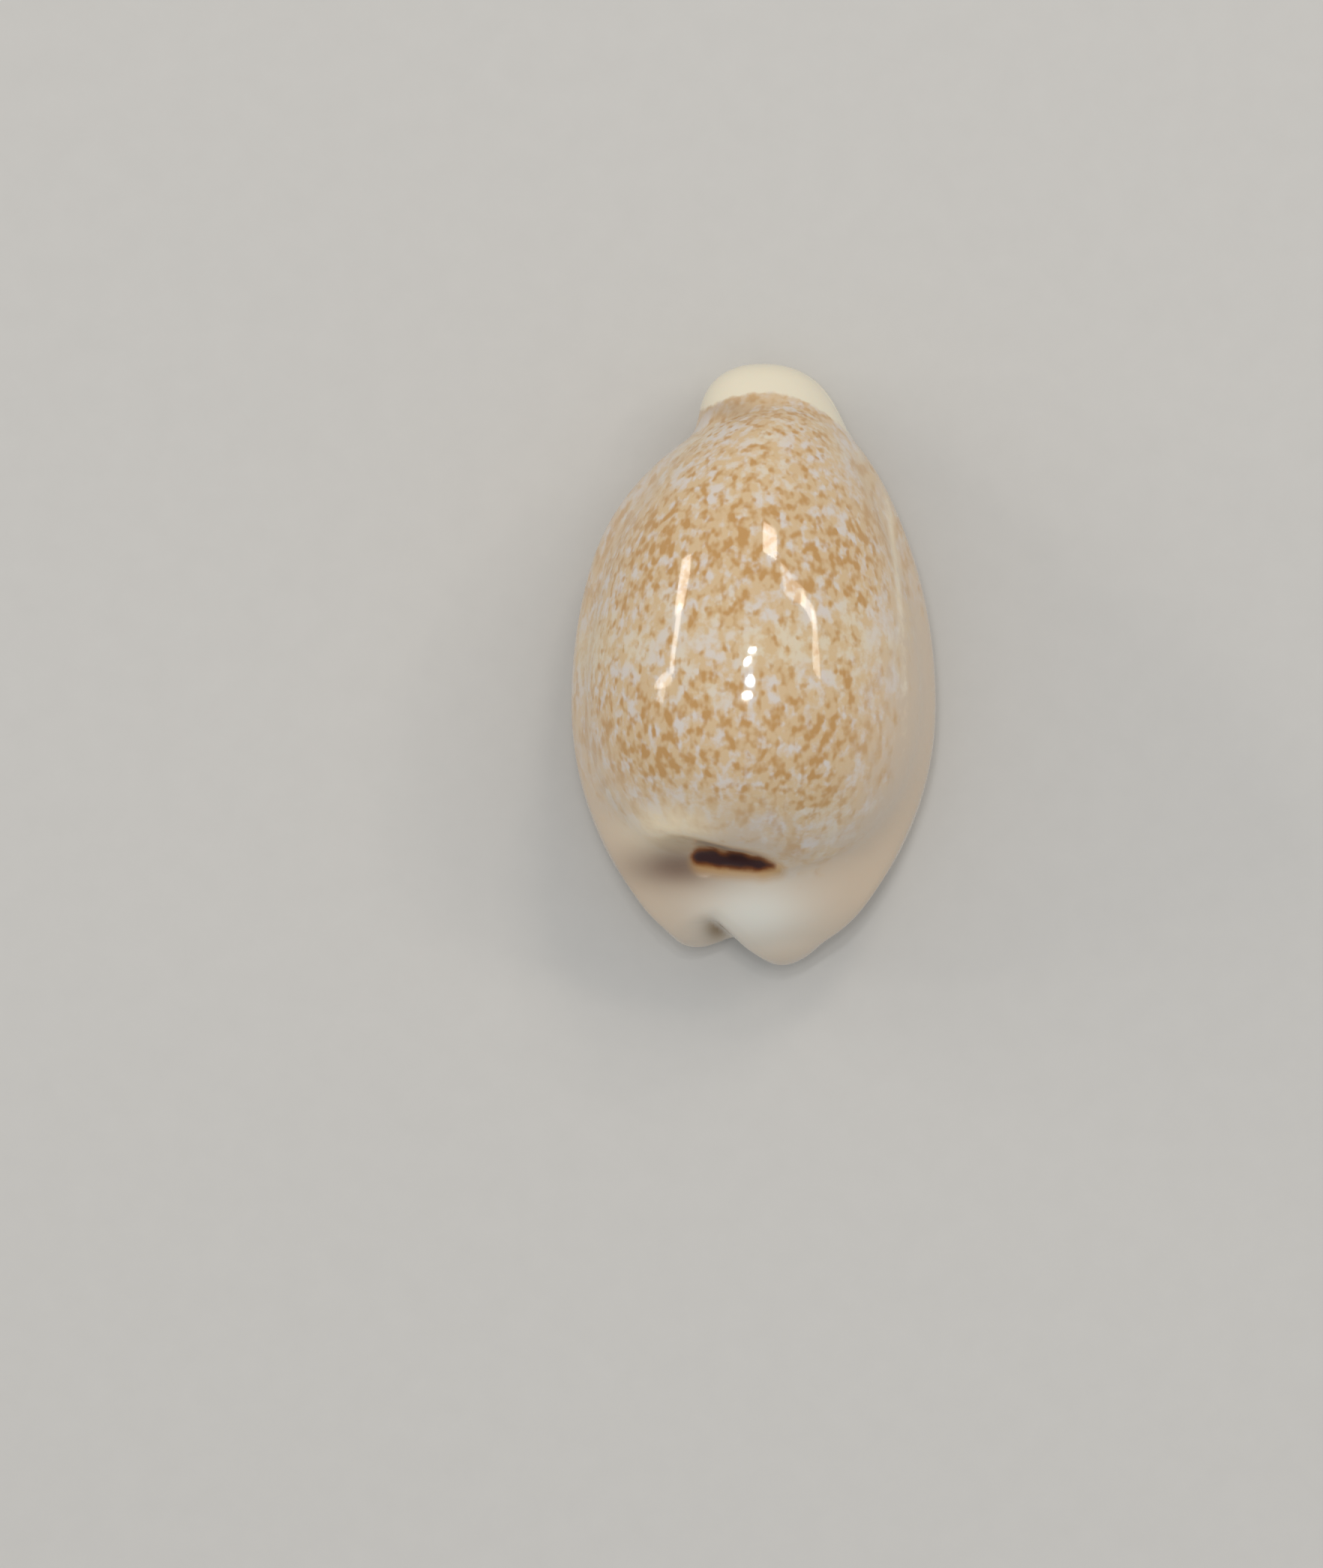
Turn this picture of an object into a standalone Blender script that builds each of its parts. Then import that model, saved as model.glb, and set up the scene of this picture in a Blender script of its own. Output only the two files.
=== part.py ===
"""A cowrie shell, lying on its base with the dorsum up.

The shell is described as a field: a function of x, y and z that is negative in the shell wall, zero on
its surface and positive outside, and that is close to the distance in millimetres. Rounded bodies are
joined and cut with soft edges, as the layers of a real shell flow into each other. The zero level of
the field becomes the mesh.

Frame: +Y towards the anterior end, +X towards the outer lip, +Z up through the dorsum. The origin is on
the plane that the base rests on, under the middle of the shell.
"""

import bpy
import numpy as np

# Everything below is in millimetres until the mesh is made.
MM = 0.001

# Driving sizes
LENGTH = 22.0
WIDTH = 13.28
HEIGHT = 10.6

# The widest place, and how far the egg outline runs from it to each end
WIDEST_Y = -1.5
ANTERIOR_REACH = 9.9
POSTERIOR_REACH = 9.25
EGG_TURN = 3.0
ANTERIOR_FULLNESS = 2.3
POSTERIOR_FULLNESS = 2.1
# The anterior third leans a little towards the outer lip.
LEAN_START_Y = 3.8
LEAN = 0.03

# The margin: a flat rounded body that gives the outline seen from above, the flange and the base
MARGIN_Z = 2.8
MARGIN_INSET = 0.31
MARGIN_RISE = 2.0
MARGIN_DEPTH = 2.85
MARGIN_FULLNESS = 2.2
BASE_FULLNESS = 3.0

# The dome over it
DOME_Y = -1.3
DOME_Z = 2.8
DOME_DEPTH = 1.2
DOME_HALF_WIDTH = 6.33
DOME_ANTERIOR = 10.9
DOME_POSTERIOR = 6.7
DOME_ANTERIOR_FULLNESS = 1.85
DOME_FULLNESS = 2.15
DOME_BLEND = 1.3

# The anterior snout cap
SNOUT_CENTRE = (0.62, 8.5, 2.1)
SNOUT_RADII = (2.55, 2.5, 2.1)
SNOUT_TILT = 0.12
SNOUT_FULLNESS = 2.25
SNOUT_BLEND = 0.8

# The smooth callus that covers the posterior end
CALLUS_CENTRE = (0.0, -7.6, 3.0)
CALLUS_RADII = (3.75, 2.6, 2.3)
CALLUS_FULLNESS = 2.2
CALLUS_BLEND = 0.9

# The posterior lobes: the outer one, on the lip's side, reaches further back.
OUTER_LOBE_CENTRE = (0.95, -9.5, 2.0)
OUTER_LOBE_RADII = (1.5, 1.5, 1.6)
INNER_LOBE_CENTRE = (-1.8, -9.15, 1.9)
INNER_LOBE_RADII = (1.25, 1.25, 1.45)
LOBE_BLEND = 0.6

# The notch between the lobes: a V seen from above, whose point moves up the flange as it rises
NOTCH_POINT = (-0.67, -9.93)
NOTCH_RISE_SHIFT = (-0.5, 0.4)
NOTCH_LOW_Z = 1.7
NOTCH_HIGH_Z = 3.3
NOTCH_RISE_LIMIT = 1.5
NOTCH_INNER_NORMAL = (-0.43, 0.90)
NOTCH_OUTER_NORMAL = (0.70, 0.71)
NOTCH_ROUNDING = 0.25
NOTCH_BLEND = 0.55
NOTCH_WALL = 0.6

# The sunken spire in front of the flange, a slanting trough, with a shallow hollow at its inner side
SPIRE_CENTRE = (-0.8, -7.24, 7.5)
SPIRE_RADII = (1.9, 0.44, 2.0)
SPIRE_TILT = 0.13
HOLLOW_CENTRE = (-3.0, -7.4, 6.8)
HOLLOW_RADII = (1.7, 0.85, 2.05)
SPIRE_BLEND = 0.7

# The aperture: a narrow curved slit along the base
SLIT_MIDDLE_X = 0.9
SLIT_MIDDLE_Y = 1.0
SLIT_ANTERIOR_BEND = 0.45
SLIT_ANTERIOR_SPAN = 10.0
SLIT_POSTERIOR_BEND = 1.65
SLIT_POSTERIOR_SPAN = 10.9
SLIT_POSTERIOR_POWER = 2.2
SLIT_HALF_WIDTH = 0.46
SLIT_ANTERIOR_WIDENING = 0.2
SLIT_WIDEST_Y = 6.5
SLIT_WIDENING_SPAN = 3.0
SLIT_ROOF_ROUNDING = 0.6
SLIT_ROOF_Z = 3.2
SLIT_END_ROOF_Z = 1.0
SLIT_ROOF_FALL_Y = 6.5
SLIT_ROOF_FALL_SPAN = 2.0
SLIT_BLEND = 0.45

# Towards the posterior end the slit narrows, leans to the inner side as it rises, and breaks out of the
# flange.
CANAL_START_Y = -7.5
CANAL_END_Y = -9.4
CANAL_HALF_WIDTH = 0.27
CANAL_LEAN = 0.36
CANAL_LEAN_Z = 0.8
CANAL_BREAKOUT_Y = -8.7
CANAL_BREAKOUT_RISE = 0.2

# The teeth: the ridges left between grooves cut across both lips
TOOTH_PITCH = 0.86
TOOTH_FIRST_Y = -7.6
TOOTH_LAST_Y = 7.9
GROOVE_RADIUS = 0.24
GROOVE_TOP_Z = 1.6
GROOVE_TURN_Z = 0.12
GROOVE_OUT = 0.95
GROOVE_END_Z = -0.2
GROOVE_BLEND = 0.1

# The hollow inside
WALL = 0.75
BASE_WALL = 0.85
WALL_CHANGE_Z = 2.2
WALL_CHANGE_SPAN = 1.2

# Fineness of the mesh: the grid's step, its margin in steps, and how points settle on the surface
GRID_STEP = 0.15
GRID_MARGIN = 2.5
FACE_BUDGET = 9400
SLOPE_STEP = 0.01
LEAST_SLOPE = 0.22
LONGEST_MOVE = 0.5
SETTLE_ROUNDS = 3
TIE_ROUNDS = 8
FLAT_TOLERANCE = 0.008
TINY = 1e-9

SHELL_COLOUR = (0.70, 0.56, 0.38, 1.0)
SHELL_ROUGHNESS = 0.12


def soft_join(a, b, blend):
    """Union of two fields with a fillet about as wide as the blend."""
    share = np.clip(0.5 + 0.5 * (b - a) / blend, 0.0, 1.0)
    return b + (a - b) * share - blend * share * (1.0 - share)


def soft_cut(body, cutter, blend):
    """The body without the cutter, with a rounded edge."""
    return -soft_join(-body, cutter, blend)


def rounded_body(plan, plan_slope, rise, fullness):
    """Field of a body from its plan value, 1 on the outline, and its height over its middle as a share."""
    size = (plan**fullness + np.abs(rise[0]) ** fullness) ** (1.0 / fullness) + TINY
    level = (np.abs(rise[0]) / size) ** (fullness - 1.0) * rise[1]
    across = (plan / size) ** (fullness - 1.0) * plan_slope
    return (size - 1.0) / np.hypot(across, level)


def egg_plan(x, y, centre_y, half_width, posterior, anterior):
    """Value and slope of the egg outline: 1 on the outline, less inside.

    Each end has a reach and a fullness.
    """
    lean = LEAN * np.maximum(y - LEAN_START_Y, 0.0) ** 2
    turn = 0.5 + 0.5 * np.tanh((y - centre_y) / EGG_TURN)
    reach = posterior[0] + (anterior[0] - posterior[0]) * turn
    fullness = posterior[1] + (anterior[1] - posterior[1]) * turn
    across = np.abs(x - lean) / half_width
    along = np.abs(y - centre_y) / reach
    plan = (across**fullness + along**fullness) ** (1.0 / fullness) + TINY
    power = fullness - 1.0
    slope = np.hypot((across / plan) ** power / half_width, (along / plan) ** power / reach)
    return plan, slope


def ellipsoid(x, y, z, centre, radii, fullness=2.0):
    """Field of a rounded box-like ellipsoid; a fullness of 2 is a true one."""
    shares = [np.abs(v - c) / r for v, c, r in zip((x, y, z), centre, radii)]
    size = sum(s**fullness for s in shares) ** (1.0 / fullness) + TINY
    slope = np.sqrt(sum(((s / size) ** (fullness - 1.0) / r) ** 2 for s, r in zip(shares, radii)))
    return (size - 1.0) / slope


def capsule(x, y, z, start, end, radius):
    """Distance to a round bar between two points."""
    start = np.array(start)
    axis = np.array(end) - start
    offset = (x - start[0], y - start[1], z - start[2])
    share = sum(o * a for o, a in zip(offset, axis)) / np.dot(axis, axis)
    share = np.clip(share, 0.0, 1.0)
    return np.sqrt(sum((o - a * share) ** 2 for o, a in zip(offset, axis))) - radius


def margin_body(x, y, z):
    half_width = WIDTH / 2 - MARGIN_INSET
    posterior = (POSTERIOR_REACH, POSTERIOR_FULLNESS)
    anterior = (ANTERIOR_REACH, ANTERIOR_FULLNESS)
    plan, slope = egg_plan(x, y, WIDEST_Y, half_width, posterior, anterior)
    over = z - MARGIN_Z
    upper = rounded_body(plan, slope, (over / MARGIN_RISE, 1.0 / MARGIN_RISE), MARGIN_FULLNESS)
    lower = rounded_body(plan, slope, (over / MARGIN_DEPTH, 1.0 / MARGIN_DEPTH), BASE_FULLNESS)
    return np.where(over > 0.0, upper, lower)


def dome_body(x, y, z):
    posterior = (DOME_POSTERIOR, POSTERIOR_FULLNESS)
    anterior = (DOME_ANTERIOR, DOME_ANTERIOR_FULLNESS)
    plan, slope = egg_plan(x, y, DOME_Y, DOME_HALF_WIDTH, posterior, anterior)
    rise = np.where(z > DOME_Z, HEIGHT - DOME_Z, DOME_DEPTH)
    return rounded_body(plan, slope, ((z - DOME_Z) / rise, 1.0 / rise), DOME_FULLNESS)


def notch_cutter(x, y, z):
    rise = np.clip((z - NOTCH_LOW_Z) / (NOTCH_HIGH_Z - NOTCH_LOW_Z), 0.0, NOTCH_RISE_LIMIT)
    from_x = x - (NOTCH_POINT[0] + NOTCH_RISE_SHIFT[0] * rise)
    from_y = y - (NOTCH_POINT[1] + NOTCH_RISE_SHIFT[1] * rise)
    inner = from_x * NOTCH_INNER_NORMAL[0] + from_y * NOTCH_INNER_NORMAL[1]
    outer = from_x * NOTCH_OUTER_NORMAL[0] + from_y * NOTCH_OUTER_NORMAL[1]
    return -soft_join(-inner, -outer, NOTCH_ROUNDING)


def canal_share(y):
    """How far the slit has turned into the posterior canal, from 0 to 1."""
    share = np.clip((CANAL_START_Y - y) / (CANAL_START_Y - CANAL_END_Y), 0.0, 1.0)
    return share * share * (3.0 - 2.0 * share)


def slit_middle(y):
    anterior = np.maximum(y - SLIT_MIDDLE_Y, 0.0) / SLIT_ANTERIOR_SPAN
    posterior = np.maximum(SLIT_MIDDLE_Y - y, 0.0) / SLIT_POSTERIOR_SPAN
    bend = SLIT_ANTERIOR_BEND * anterior**2 + SLIT_POSTERIOR_BEND * posterior**SLIT_POSTERIOR_POWER
    return SLIT_MIDDLE_X - bend


def slit_half_width(y):
    widening = np.exp(-(((y - SLIT_WIDEST_Y) / SLIT_WIDENING_SPAN) ** 2))
    open_width = SLIT_HALF_WIDTH + SLIT_ANTERIOR_WIDENING * widening
    return open_width + (CANAL_HALF_WIDTH - open_width) * canal_share(y)


def slit_cutter(x, y, z):
    """The aperture and the two canals that it runs out into."""
    lean = CANAL_LEAN * canal_share(y) * (z - CANAL_LEAN_Z)
    wall = np.abs(x - slit_middle(y) + lean) - slit_half_width(y)
    near_end = np.clip((np.abs(y) - SLIT_ROOF_FALL_Y) / SLIT_ROOF_FALL_SPAN, 0.0, 1.0)
    roof = SLIT_ROOF_Z + (SLIT_END_ROOF_Z - SLIT_ROOF_Z) * near_end
    roof = roof + CANAL_BREAKOUT_RISE * np.maximum(CANAL_BREAKOUT_Y - y, 0.0)
    return -soft_join(-wall, roof - z, SLIT_ROOF_ROUNDING)


def groove_cutter(x, y, z, side):
    """The grooves between the teeth of one lip, which leave the slit's wall and fade out on the base."""
    out = side * (x - slit_middle(y)) - slit_half_width(y)
    count = round((TOOTH_LAST_Y - TOOTH_FIRST_Y) / TOOTH_PITCH)
    number = np.clip(np.round((y - TOOTH_FIRST_Y) / TOOTH_PITCH), 0, count)
    along = y - TOOTH_FIRST_Y - number * TOOTH_PITCH
    top = (0.0, 0.0, GROOVE_TOP_Z)
    turn = (0.0, 0.0, GROOVE_TURN_Z)
    end = (GROOVE_OUT, 0.0, GROOVE_END_Z)
    wall = capsule(out, along, z, top, turn, GROOVE_RADIUS)
    base = capsule(out, along, z, turn, end, GROOVE_RADIUS)
    return np.minimum(wall, base)


def whorl_body(x, y, z):
    """The outside of the last whorl, whose wall follows it."""
    body = soft_join(dome_body(x, y, z), margin_body(x, y, z), DOME_BLEND)
    callus = ellipsoid(x, y, z, CALLUS_CENTRE, CALLUS_RADII, CALLUS_FULLNESS)
    body = soft_join(body, callus, CALLUS_BLEND)
    slant = y + SPIRE_TILT * (x - SPIRE_CENTRE[0])
    body = soft_cut(body, ellipsoid(x, slant, z, SPIRE_CENTRE, SPIRE_RADII), SPIRE_BLEND)
    return soft_cut(body, ellipsoid(x, y, z, HOLLOW_CENTRE, HOLLOW_RADII), SPIRE_BLEND)


def shell_field(x, y, z):
    body = whorl_body(x, y, z)
    wall = WALL + BASE_WALL * (0.5 - 0.5 * np.tanh((z - WALL_CHANGE_Z) / WALL_CHANGE_SPAN))
    notch = notch_cutter(x, y, z)
    inside = soft_cut(body + wall, notch - NOTCH_WALL, SLIT_BLEND)
    tilted = x + SNOUT_TILT * (y - SNOUT_CENTRE[1])
    snout = ellipsoid(tilted, y, z, SNOUT_CENTRE, SNOUT_RADII, SNOUT_FULLNESS)
    outer = soft_join(body, snout, SNOUT_BLEND)
    for centre, radii in (
        (OUTER_LOBE_CENTRE, OUTER_LOBE_RADII),
        (INNER_LOBE_CENTRE, INNER_LOBE_RADII),
    ):
        outer = soft_join(outer, ellipsoid(x, y, z, centre, radii), LOBE_BLEND)
    outer = soft_cut(outer, notch, NOTCH_BLEND)
    opening = soft_join(inside, slit_cutter(x, y, z), SLIT_BLEND)
    shell = soft_cut(outer, opening, SLIT_BLEND)
    for side in (-1.0, 1.0):
        shell = soft_cut(shell, groove_cutter(x, y, z, side), GROOVE_BLEND)
    return np.maximum(shell, -z)


def grid_axes(step):
    margin = GRID_MARGIN * step
    half_x = WIDTH / 2 + margin
    half_y = LENGTH / 2 + margin
    return (
        np.arange(-half_x, half_x, step),
        np.arange(-half_y, half_y, step),
        np.arange(-margin, HEIGHT + margin, step),
    )


def break_ties(values):
    """Flips the weakest corner of each grid square whose corners alternate in sign.

    Such a square would make four faces meet at one edge.
    """
    steps = np.eye(3, dtype=int)
    for _ in range(TIE_ROUNDS):
        for first, second in ((0, 1), (0, 2), (1, 2)):
            corners = (0 * steps[first], steps[first], steps[first] + steps[second], steps[second])
            inside = [np.roll(values < 0, -corner, axis=(0, 1, 2)) for corner in corners]
            tied = (inside[0] == inside[2]) & (inside[1] == inside[3]) & (inside[0] != inside[1])
            for square in np.argwhere(tied):
                spots = [tuple(square + corner) for corner in corners]
                weakest = min(spots, key=lambda spot: abs(values[spot]))
                values[weakest] = -np.sign(values[weakest]) * SLOPE_STEP
    return values


def zero_level(values, axes, step):
    """Points and four-sided faces of the field's zero level, one point in each cell that it crosses."""
    cells = tuple(n - 1 for n in values.shape)
    total = np.zeros(cells + (3,))
    count = np.zeros(cells)
    crossings = []
    for axis in range(3):
        low = np.take(values, range(values.shape[axis] - 1), axis)
        high = np.take(values, range(1, values.shape[axis]), axis)
        edges = np.argwhere((low < 0) != (high < 0))
        near, far = low[tuple(edges.T)], high[tuple(edges.T)]
        spots = edges.astype(float)
        spots[:, axis] += near / (near - far)
        first, second = [other for other in range(3) if other != axis]
        ring = []
        for back_first, back_second in ((1, 1), (0, 1), (0, 0), (1, 0)):
            cell = edges.copy()
            cell[:, first] -= back_first
            cell[:, second] -= back_second
            np.add.at(total, tuple(cell.T), spots)
            np.add.at(count, tuple(cell.T), 1)
            ring.append(cell)
        crossings.append((axis, ring, near < 0))
    used = count > 0
    index = np.full(cells, -1)
    index[used] = np.arange(used.sum())
    origin = np.array([a[0] for a in axes])
    points = total[used] / count[used][:, None] * step + origin
    faces = []
    for axis, ring, leaving in crossings:
        quads = np.stack([index[tuple(cell.T)] for cell in ring], axis=1)
        flip = leaving if axis == 1 else ~leaving
        quads[flip] = quads[flip][:, ::-1]
        faces.append(quads)
    return points, np.concatenate(faces)


def settle(points):
    """Moves the points onto the field's zero level along its slope."""
    for _ in range(SETTLE_ROUNDS):
        value = shell_field(*points.T)
        slope = np.empty_like(points)
        for axis in range(3):
            ahead = points.copy()
            ahead[:, axis] += SLOPE_STEP
            behind = points.copy()
            behind[:, axis] -= SLOPE_STEP
            slope[:, axis] = (shell_field(*ahead.T) - shell_field(*behind.T)) / (2 * SLOPE_STEP)
        steep = np.maximum((slope**2).sum(1), LEAST_SLOPE**2)
        move = slope * (value / steep)[:, None]
        length = np.maximum(np.linalg.norm(move, axis=1), TINY)
        points = points - move * np.minimum(1.0, LONGEST_MOVE * GRID_STEP / length)[:, None]
    return points


def shell_mesh():
    axes = grid_axes(GRID_STEP)
    x, y, z = np.meshgrid(*axes, indexing="ij")
    points, faces = zero_level(break_ties(shell_field(x, y, z)), axes, GRID_STEP)
    points = settle(points)
    mesh = bpy.data.meshes.new("shell")
    mesh.from_pydata((points * MM).tolist(), [], faces.tolist())
    mesh.update()
    return mesh


def shell_material():
    material = bpy.data.materials.new("porcelain")
    material.use_nodes = True
    surface = material.node_tree.nodes["Principled BSDF"]
    surface.inputs["Base Color"].default_value = SHELL_COLOUR
    surface.inputs["Roughness"].default_value = SHELL_ROUGHNESS
    surface.inputs["Metallic"].default_value = 0.0
    return material


def flatten_base(mesh):
    """Brings the points next to the resting plane exactly onto it."""
    for vertex in mesh.vertices:
        if vertex.co.z < FLAT_TOLERANCE * MM:
            vertex.co.z = 0.0


def main():
    for old in list(bpy.data.objects):
        bpy.data.objects.remove(old)
    fine = bpy.data.objects.new("fine", shell_mesh())
    bpy.context.scene.collection.objects.link(fine)
    thin = fine.modifiers.new("fewer faces where it is smooth", "DECIMATE")
    thin.ratio = FACE_BUDGET / (2 * len(fine.data.polygons))
    thinned = fine.evaluated_get(bpy.context.evaluated_depsgraph_get())
    shell = bpy.data.objects.new("shell", bpy.data.meshes.new_from_object(thinned))
    bpy.data.objects.remove(fine)
    bpy.context.scene.collection.objects.link(shell)
    flatten_base(shell.data)
    shell.data.materials.append(shell_material())
    shell.data.shade_smooth()


main()
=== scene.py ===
"""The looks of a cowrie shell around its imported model.

The shell's surface is made again by the part's own method, on a finer grid, and painted by nodes. The
markings are worked out in millimetres over the surface, and noise breaks up their borders. The camera
looks straight down on the shell's back, and small lamps show on the gloss where the photograph has its
highlights.

The field is a function of x, y and z that is negative in the shell wall, zero on its surface and positive
outside, and that is close to the distance in millimetres. Rounded bodies are joined and cut with soft
edges, as the layers of a real shell flow into each other.
"""

import math

import bpy
import numpy as np
from mathutils import Matrix, Vector

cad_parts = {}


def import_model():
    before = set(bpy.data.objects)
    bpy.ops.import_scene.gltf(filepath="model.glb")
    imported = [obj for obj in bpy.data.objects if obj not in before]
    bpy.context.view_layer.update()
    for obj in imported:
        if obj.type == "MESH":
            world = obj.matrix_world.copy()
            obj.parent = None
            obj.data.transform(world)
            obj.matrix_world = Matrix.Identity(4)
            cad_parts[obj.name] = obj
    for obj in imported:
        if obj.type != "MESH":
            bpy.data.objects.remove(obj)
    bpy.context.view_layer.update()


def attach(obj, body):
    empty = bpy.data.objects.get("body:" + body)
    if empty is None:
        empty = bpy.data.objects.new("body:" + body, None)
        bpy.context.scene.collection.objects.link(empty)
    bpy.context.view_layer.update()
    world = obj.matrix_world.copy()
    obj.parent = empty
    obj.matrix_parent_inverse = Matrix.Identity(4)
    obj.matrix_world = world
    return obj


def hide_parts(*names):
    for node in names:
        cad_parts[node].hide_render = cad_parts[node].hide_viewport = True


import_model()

# Everything below is in millimetres until the mesh is made.
MM = 0.001

# Driving sizes
LENGTH = 22.0
WIDTH = 13.28
HEIGHT = 10.6

# The widest place, and how far the egg outline runs from it to each end
WIDEST_Y = -1.5
ANTERIOR_REACH = 9.9
POSTERIOR_REACH = 9.25
EGG_TURN = 3.0
ANTERIOR_FULLNESS = 2.3
POSTERIOR_FULLNESS = 2.1
# The anterior third leans a little towards the outer lip.
LEAN_START_Y = 3.8
LEAN = 0.03

# The margin: a flat rounded body that gives the outline seen from above, the flange and the base
MARGIN_Z = 2.8
MARGIN_INSET = 0.31
MARGIN_RISE = 2.0
MARGIN_DEPTH = 2.85
MARGIN_FULLNESS = 2.2
BASE_FULLNESS = 3.0

# The dome over it
DOME_Y = -1.3
DOME_Z = 2.8
DOME_DEPTH = 1.2
DOME_HALF_WIDTH = 6.33
DOME_ANTERIOR = 10.9
DOME_POSTERIOR = 6.7
DOME_ANTERIOR_FULLNESS = 1.85
DOME_FULLNESS = 2.15
DOME_BLEND = 1.3

# The anterior snout cap
SNOUT_CENTRE = (0.62, 8.5, 2.1)
SNOUT_RADII = (2.55, 2.5, 2.1)
SNOUT_TILT = 0.12
SNOUT_FULLNESS = 2.25
SNOUT_BLEND = 0.8

# The smooth callus that covers the posterior end
CALLUS_CENTRE = (0.0, -7.6, 3.0)
CALLUS_RADII = (3.75, 2.6, 2.3)
CALLUS_FULLNESS = 2.2
CALLUS_BLEND = 0.9

# The posterior lobes: the outer one, on the lip's side, reaches further back.
OUTER_LOBE_CENTRE = (0.95, -9.5, 2.0)
OUTER_LOBE_RADII = (1.5, 1.5, 1.6)
INNER_LOBE_CENTRE = (-1.8, -9.15, 1.9)
INNER_LOBE_RADII = (1.25, 1.25, 1.45)
LOBE_BLEND = 0.6

# The notch between the lobes: a V seen from above, whose point moves up the flange as it rises
NOTCH_POINT = (-0.67, -9.93)
NOTCH_RISE_SHIFT = (-0.5, 0.4)
NOTCH_LOW_Z = 1.7
NOTCH_HIGH_Z = 3.3
NOTCH_RISE_LIMIT = 1.5
NOTCH_INNER_NORMAL = (-0.43, 0.90)
NOTCH_OUTER_NORMAL = (0.70, 0.71)
NOTCH_ROUNDING = 0.25
NOTCH_BLEND = 0.55
NOTCH_WALL = 0.6

# The sunken spire in front of the flange, a slanting trough, with a shallow hollow at its inner side
SPIRE_CENTRE = (-0.8, -7.24, 7.5)
SPIRE_RADII = (1.9, 0.44, 2.0)
SPIRE_TILT = 0.13
HOLLOW_CENTRE = (-3.0, -7.4, 6.8)
HOLLOW_RADII = (1.7, 0.85, 2.05)
SPIRE_BLEND = 0.7

# The aperture: a narrow curved slit along the base
SLIT_MIDDLE_X = 0.9
SLIT_MIDDLE_Y = 1.0
SLIT_ANTERIOR_BEND = 0.45
SLIT_ANTERIOR_SPAN = 10.0
SLIT_POSTERIOR_BEND = 1.65
SLIT_POSTERIOR_SPAN = 10.9
SLIT_POSTERIOR_POWER = 2.2
SLIT_HALF_WIDTH = 0.46
SLIT_ANTERIOR_WIDENING = 0.2
SLIT_WIDEST_Y = 6.5
SLIT_WIDENING_SPAN = 3.0
SLIT_ROOF_ROUNDING = 0.6
SLIT_ROOF_Z = 3.2
SLIT_END_ROOF_Z = 1.0
SLIT_ROOF_FALL_Y = 6.5
SLIT_ROOF_FALL_SPAN = 2.0
SLIT_BLEND = 0.45

# Towards the posterior end the slit narrows, leans to the inner side as it rises, and breaks out of the
# flange.
CANAL_START_Y = -7.5
CANAL_END_Y = -9.4
CANAL_HALF_WIDTH = 0.27
CANAL_LEAN = 0.36
CANAL_LEAN_Z = 0.8
CANAL_BREAKOUT_Y = -8.7
CANAL_BREAKOUT_RISE = 0.2

# The teeth: the ridges left between grooves cut across both lips
TOOTH_PITCH = 0.86
TOOTH_FIRST_Y = -7.6
TOOTH_LAST_Y = 7.04
GROOVE_RADIUS = 0.24
GROOVE_TOP_Z = 1.6
GROOVE_TURN_Z = 0.12
GROOVE_OUT = 0.95
GROOVE_END_Z = -0.2
GROOVE_BLEND = 0.1

# The hollow inside
WALL = 0.75
BASE_WALL = 0.85
WALL_CHANGE_Z = 2.2
WALL_CHANGE_SPAN = 1.2

# Fineness of the mesh
GRID_STEP = 0.14
GRID_MARGIN = 2.5
SLOPE_STEP = 0.01
LEAST_SLOPE = 0.22
LONGEST_MOVE = 0.5
SETTLE_ROUNDS = 2
EVEN_ROUNDS = 2
EVEN_SHARE = 0.5
TIE_ROUNDS = 8
TINY = 1e-9
FAR = 100.0

# The border of the spotted coat, seen from above. It runs past the outline where spots reach the edge.
COAT_OUTLINE = (
    (-3.0, 11.5), (-4.6, 7.6), (-7.2, 4.4), (-8.0, 1.0), (-7.8, -2.0), (-6.4, -4.8), (-4.8, -6.3),
    (-2.6, -6.8), (0.1, -6.8), (0.7, -7.9), (2.4, -7.9), (3.8, -6.8), (5.0, -5.2), (5.6, -2.5),
    (6.0, 0.6), (6.7, 2.6), (6.2, 5.0), (4.6, 8.4), (3.8, 11.5),
)
COAT_LOW_Z = 2.0
COAT_RAGGED = 2.6
COAT_BORDER = (-0.1, 1.5)

# The plain cap at the anterior end, seen from above: an arch that falls more to the outer side
CAP_TOP = (0.5, 9.86)
CAP_INNER_CURVE = 0.1
CAP_OUTER_CURVE = 0.16
CAP_POWER = 2.05
CAP_BACK_Y = 8.25
CAP_RAGGED = 0.35
CAP_BORDER = (-0.06, 0.1)
# Painted shade in the valley behind the cap's border, on the inner side
VALLEY_SHADE_CENTRE = (-0.9, 9.3)
VALLEY_SHADE_RADII = (1.4, 0.5)
VALLEY_SHADE_STRENGTH = 0.6

# The dark spire, as tapering strokes seen from above: start, end, first and last radius
SPIRE_STROKES = (
    ((-1.98, -7.02), (-1.5, -7.04), 0.24, 0.28),
    ((-0.75, -7.1), (-0.5, -7.12), 0.25, 0.25),
    ((-1.2, -7.14), (0.2, -7.29), 0.22, 0.17),
    ((0.2, -7.29), (0.66, -7.36), 0.17, 0.04),
)
STROKE_BLEND = 0.15
SPIRE_RAGGED = 0.15
SPIRE_BORDER = (0.08, -0.12)
RUST_BORDER = (0.2, -0.02)
# The amber glow along the spire's outer and rear edge
GLOW_SHIFT = (0.15, -0.16)
GLOW_BORDER = (0.5, -0.1)
GLOW_STRENGTH = 0.85
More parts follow.
